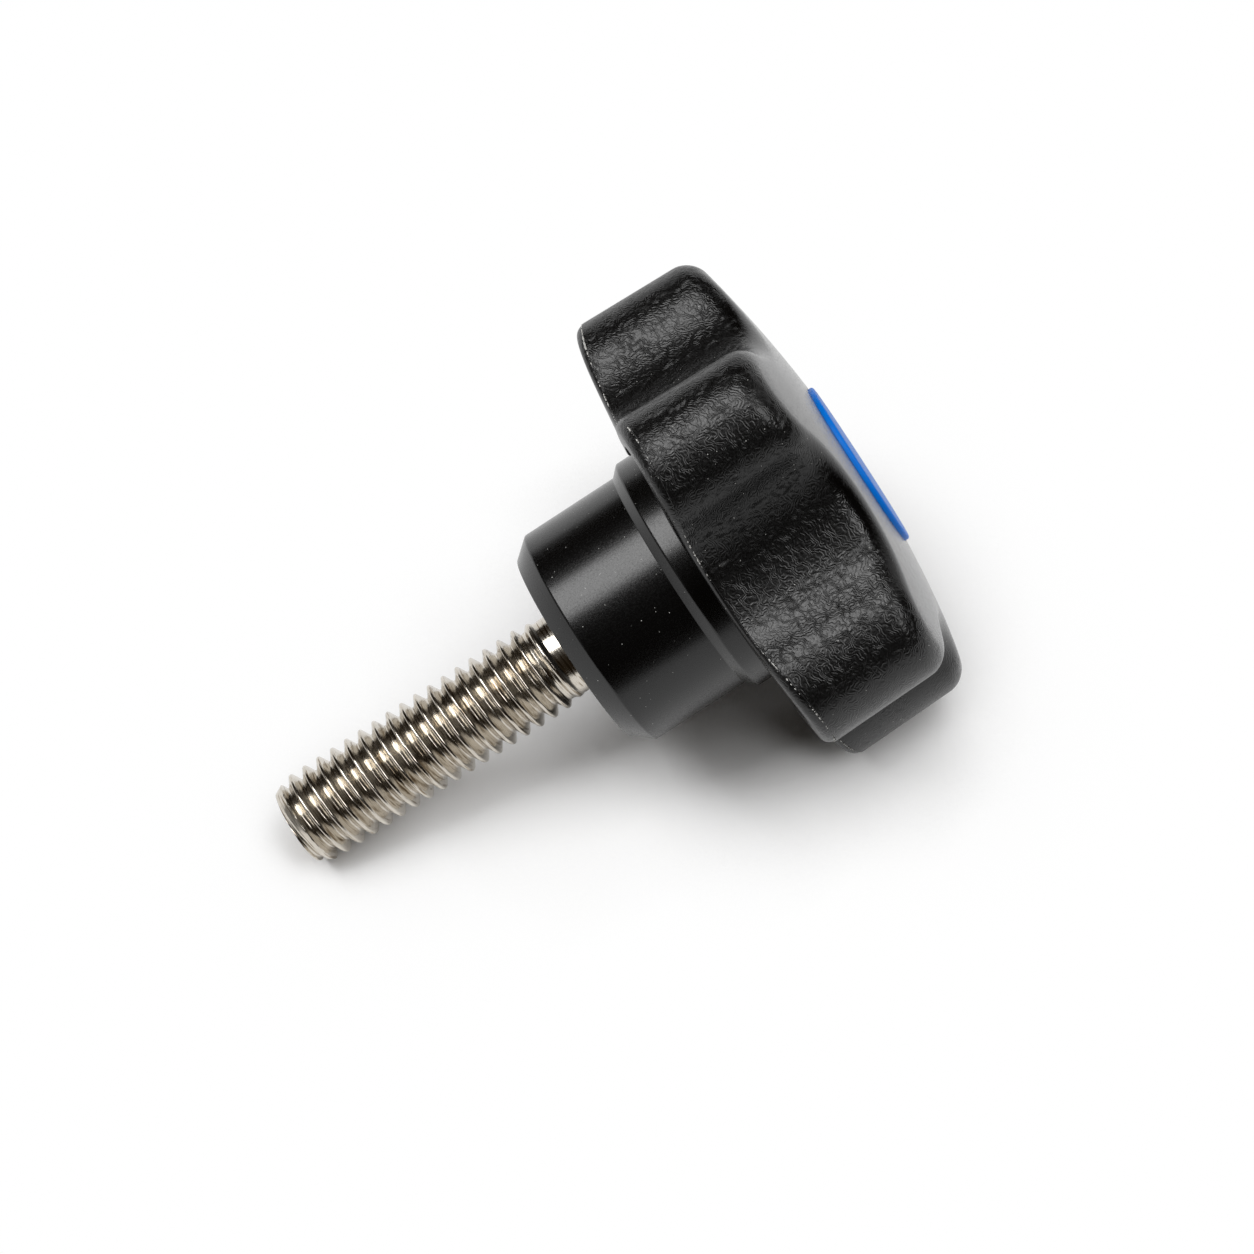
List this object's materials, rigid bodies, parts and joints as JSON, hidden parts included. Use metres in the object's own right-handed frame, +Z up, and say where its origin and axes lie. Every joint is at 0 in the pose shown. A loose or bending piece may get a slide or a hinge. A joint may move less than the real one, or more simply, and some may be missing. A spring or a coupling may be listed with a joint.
{
  "type": "thumb screw",
  "caption": "Lobed plastic thumb screw with a stepped hub, a fixed metal stud and a coloured press-in cap, lying on its side.",
  "frame": {"origin": "on the ground, under the middle of the box of the screw as it lies at rest", "axes": "+Z up, +X along the ground from the stud's tip towards the head, +Y to the left of that"},
  "size_m": [0.0416, 0.0312, 0.0304],
  "materials": {
    "knob_plastic": "black glass-filled plastic, fine eroded grain on the head, smoother on the hub",
    "stud_metal": "bright plated steel with a rolled thread",
    "cap_plastic": "blue satin plastic"
  },
  "bodies": {
    "root": {"knob_body": "knob_plastic", "stud": "stud_metal", "cap": "cap_plastic"}
  },
  "joints": []
}
